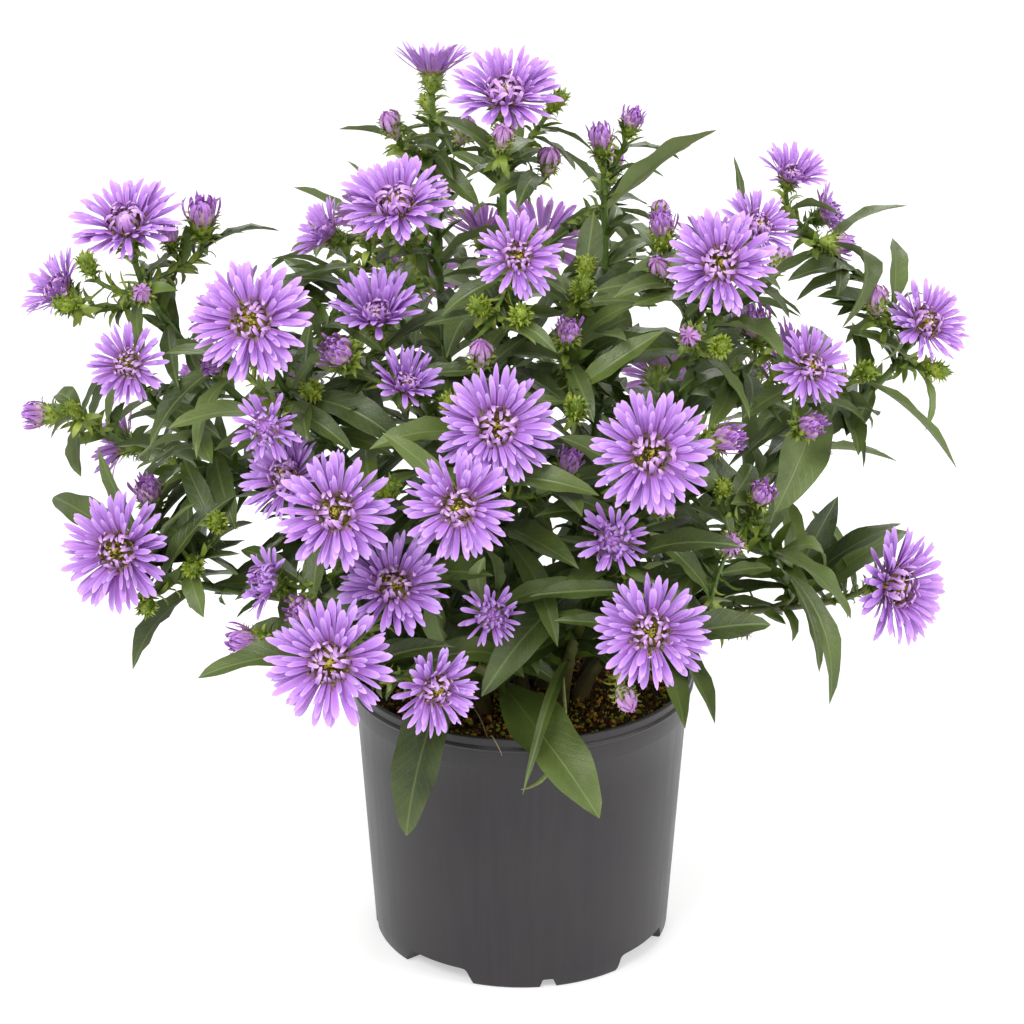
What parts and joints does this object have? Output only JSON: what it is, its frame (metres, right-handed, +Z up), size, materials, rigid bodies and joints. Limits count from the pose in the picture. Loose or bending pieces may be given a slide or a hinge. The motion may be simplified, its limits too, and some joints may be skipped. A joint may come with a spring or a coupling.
{
  "type": "potted new york aster",
  "caption": "Bushy flowering plant with leafy stems, buds and lavender ray flowers, growing in a round plastic grower pot filled with soil.",
  "frame": {"origin": "middle of the underside of the pot's foot, on the surface that the pot stands on", "axes": "+Z up along the pot's axis, -Y towards the front of the plant, +X to the right seen from the front"},
  "size_m": [0.3431, 0.2633, 0.3441],
  "materials": {
    "pot": "satin moulded plastic",
    "soil": "rough dark peat",
    "leafy_stem": "matt, finely haired leaf",
    "bloom": "soft matt petal"
  },
  "bodies": {
    "root": {"pot": "pot", "soil": "soil", "leafy_stem_left_top": "leafy_stem", "leafy_stem_left_side": "leafy_stem", "leafy_stem_left_low": "leafy_stem", "leafy_stem_upper_left": "leafy_stem", "leafy_stem_top": "leafy_stem", "leafy_stem_top_centre": "leafy_stem", "leafy_stem_front_left": "leafy_stem", "leafy_stem_front_low": "leafy_stem", "leafy_stem_centre": "leafy_stem", "leafy_stem_right_centre": "leafy_stem", "leafy_stem_right_top": "leafy_stem", "leafy_stem_right": "leafy_stem", "leafy_stem_front_right": "leafy_stem", "leafy_stem_right_low": "leafy_stem", "leafy_stem_back_left": "leafy_stem", "leafy_stem_back_right": "leafy_stem", "bloom_left_top_1": "bloom", "bloom_left_top_2": "bloom", "bloom_left_side_1": "bloom", "bloom_left_side_2": "bloom", "bloom_left_low_1": "bloom", "bloom_upper_left_1": "bloom", "bloom_upper_left_2": "bloom", "bloom_upper_left_3": "bloom", "bloom_top_1": "bloom", "bloom_top_2": "bloom", "bloom_top_centre_1": "bloom", "bloom_top_centre_2": "bloom", "bloom_front_left_1": "bloom", "bloom_front_left_2": "bloom", "bloom_front_left_3": "bloom", "bloom_front_low_1": "bloom", "bloom_front_low_2": "bloom", "bloom_front_low_3": "bloom", "bloom_centre_1": "bloom", "bloom_centre_2": "bloom", "bloom_centre_3": "bloom", "bloom_centre_4": "bloom", "bloom_centre_5": "bloom", "bloom_right_top_1": "bloom", "bloom_right_top_2": "bloom", "bloom_right_1": "bloom", "bloom_right_2": "bloom", "bloom_right_3": "bloom", "bloom_right_4": "bloom", "bloom_front_right_1": "bloom", "bloom_front_right_2": "bloom", "bloom_front_right_3": "bloom", "bloom_right_low_1": "bloom", "bloom_back_left_1": "bloom", "bloom_back_left_2": "bloom", "bloom_back_left_3": "bloom", "bloom_back_left_4": "bloom", "bloom_back_left_5": "bloom", "bloom_back_right_1": "bloom", "bloom_back_right_2": "bloom", "bloom_back_right_3": "bloom", "bloom_back_right_4": "bloom"}
  },
  "joints": []
}
